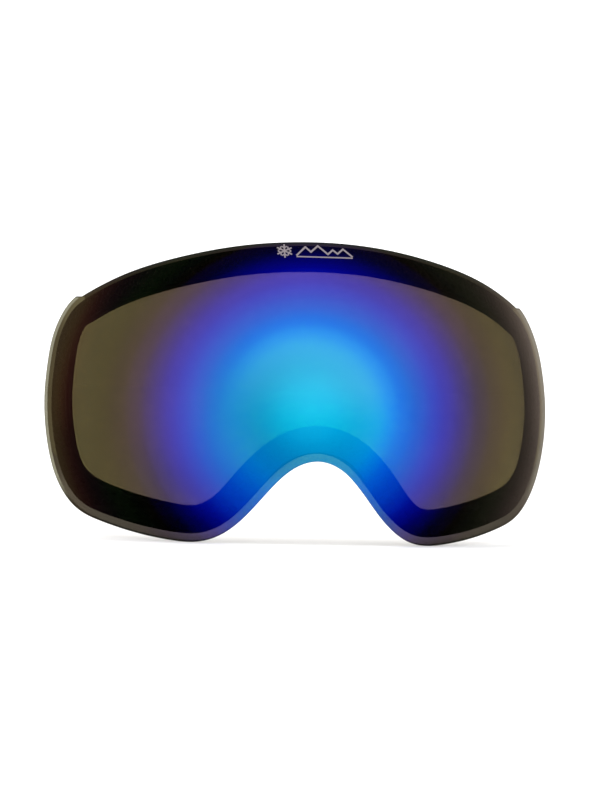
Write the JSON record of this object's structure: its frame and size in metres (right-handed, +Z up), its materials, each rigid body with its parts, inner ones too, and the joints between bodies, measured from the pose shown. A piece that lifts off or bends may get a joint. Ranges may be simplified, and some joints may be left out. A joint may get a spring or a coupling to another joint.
{
  "type": "ski goggle lens",
  "caption": "Spherical double-pane lens unit for ski goggles, with a blue mirror coat, a foam spacer, a nose arch and a rim flange that sits in the frame's groove.",
  "frame": {"origin": "middle of the lens unit's bounding box", "axes": "+X along the width, to the viewer's right as seen from the front; the mirror face looks along -Y, so the wearer is on the +Y side; +Z is up"},
  "size_m": [0.178, 0.0596, 0.103],
  "materials": {
    "mirror_pane": "brown-tinted polycarbonate with a blue mirror coat on its front, polished",
    "clear_pane": "clear cellulose propionate with an anti-fog face, polished",
    "foam": "black fine-celled foam, matt",
    "tape": "black double-sided tape, satin"
  },
  "bodies": {
    "root": {"outer_lens": "mirror_pane", "front_adhesive": "tape", "spacer": "foam", "rear_adhesive": "tape", "inner_lens": "clear_pane"}
  },
  "joints": []
}
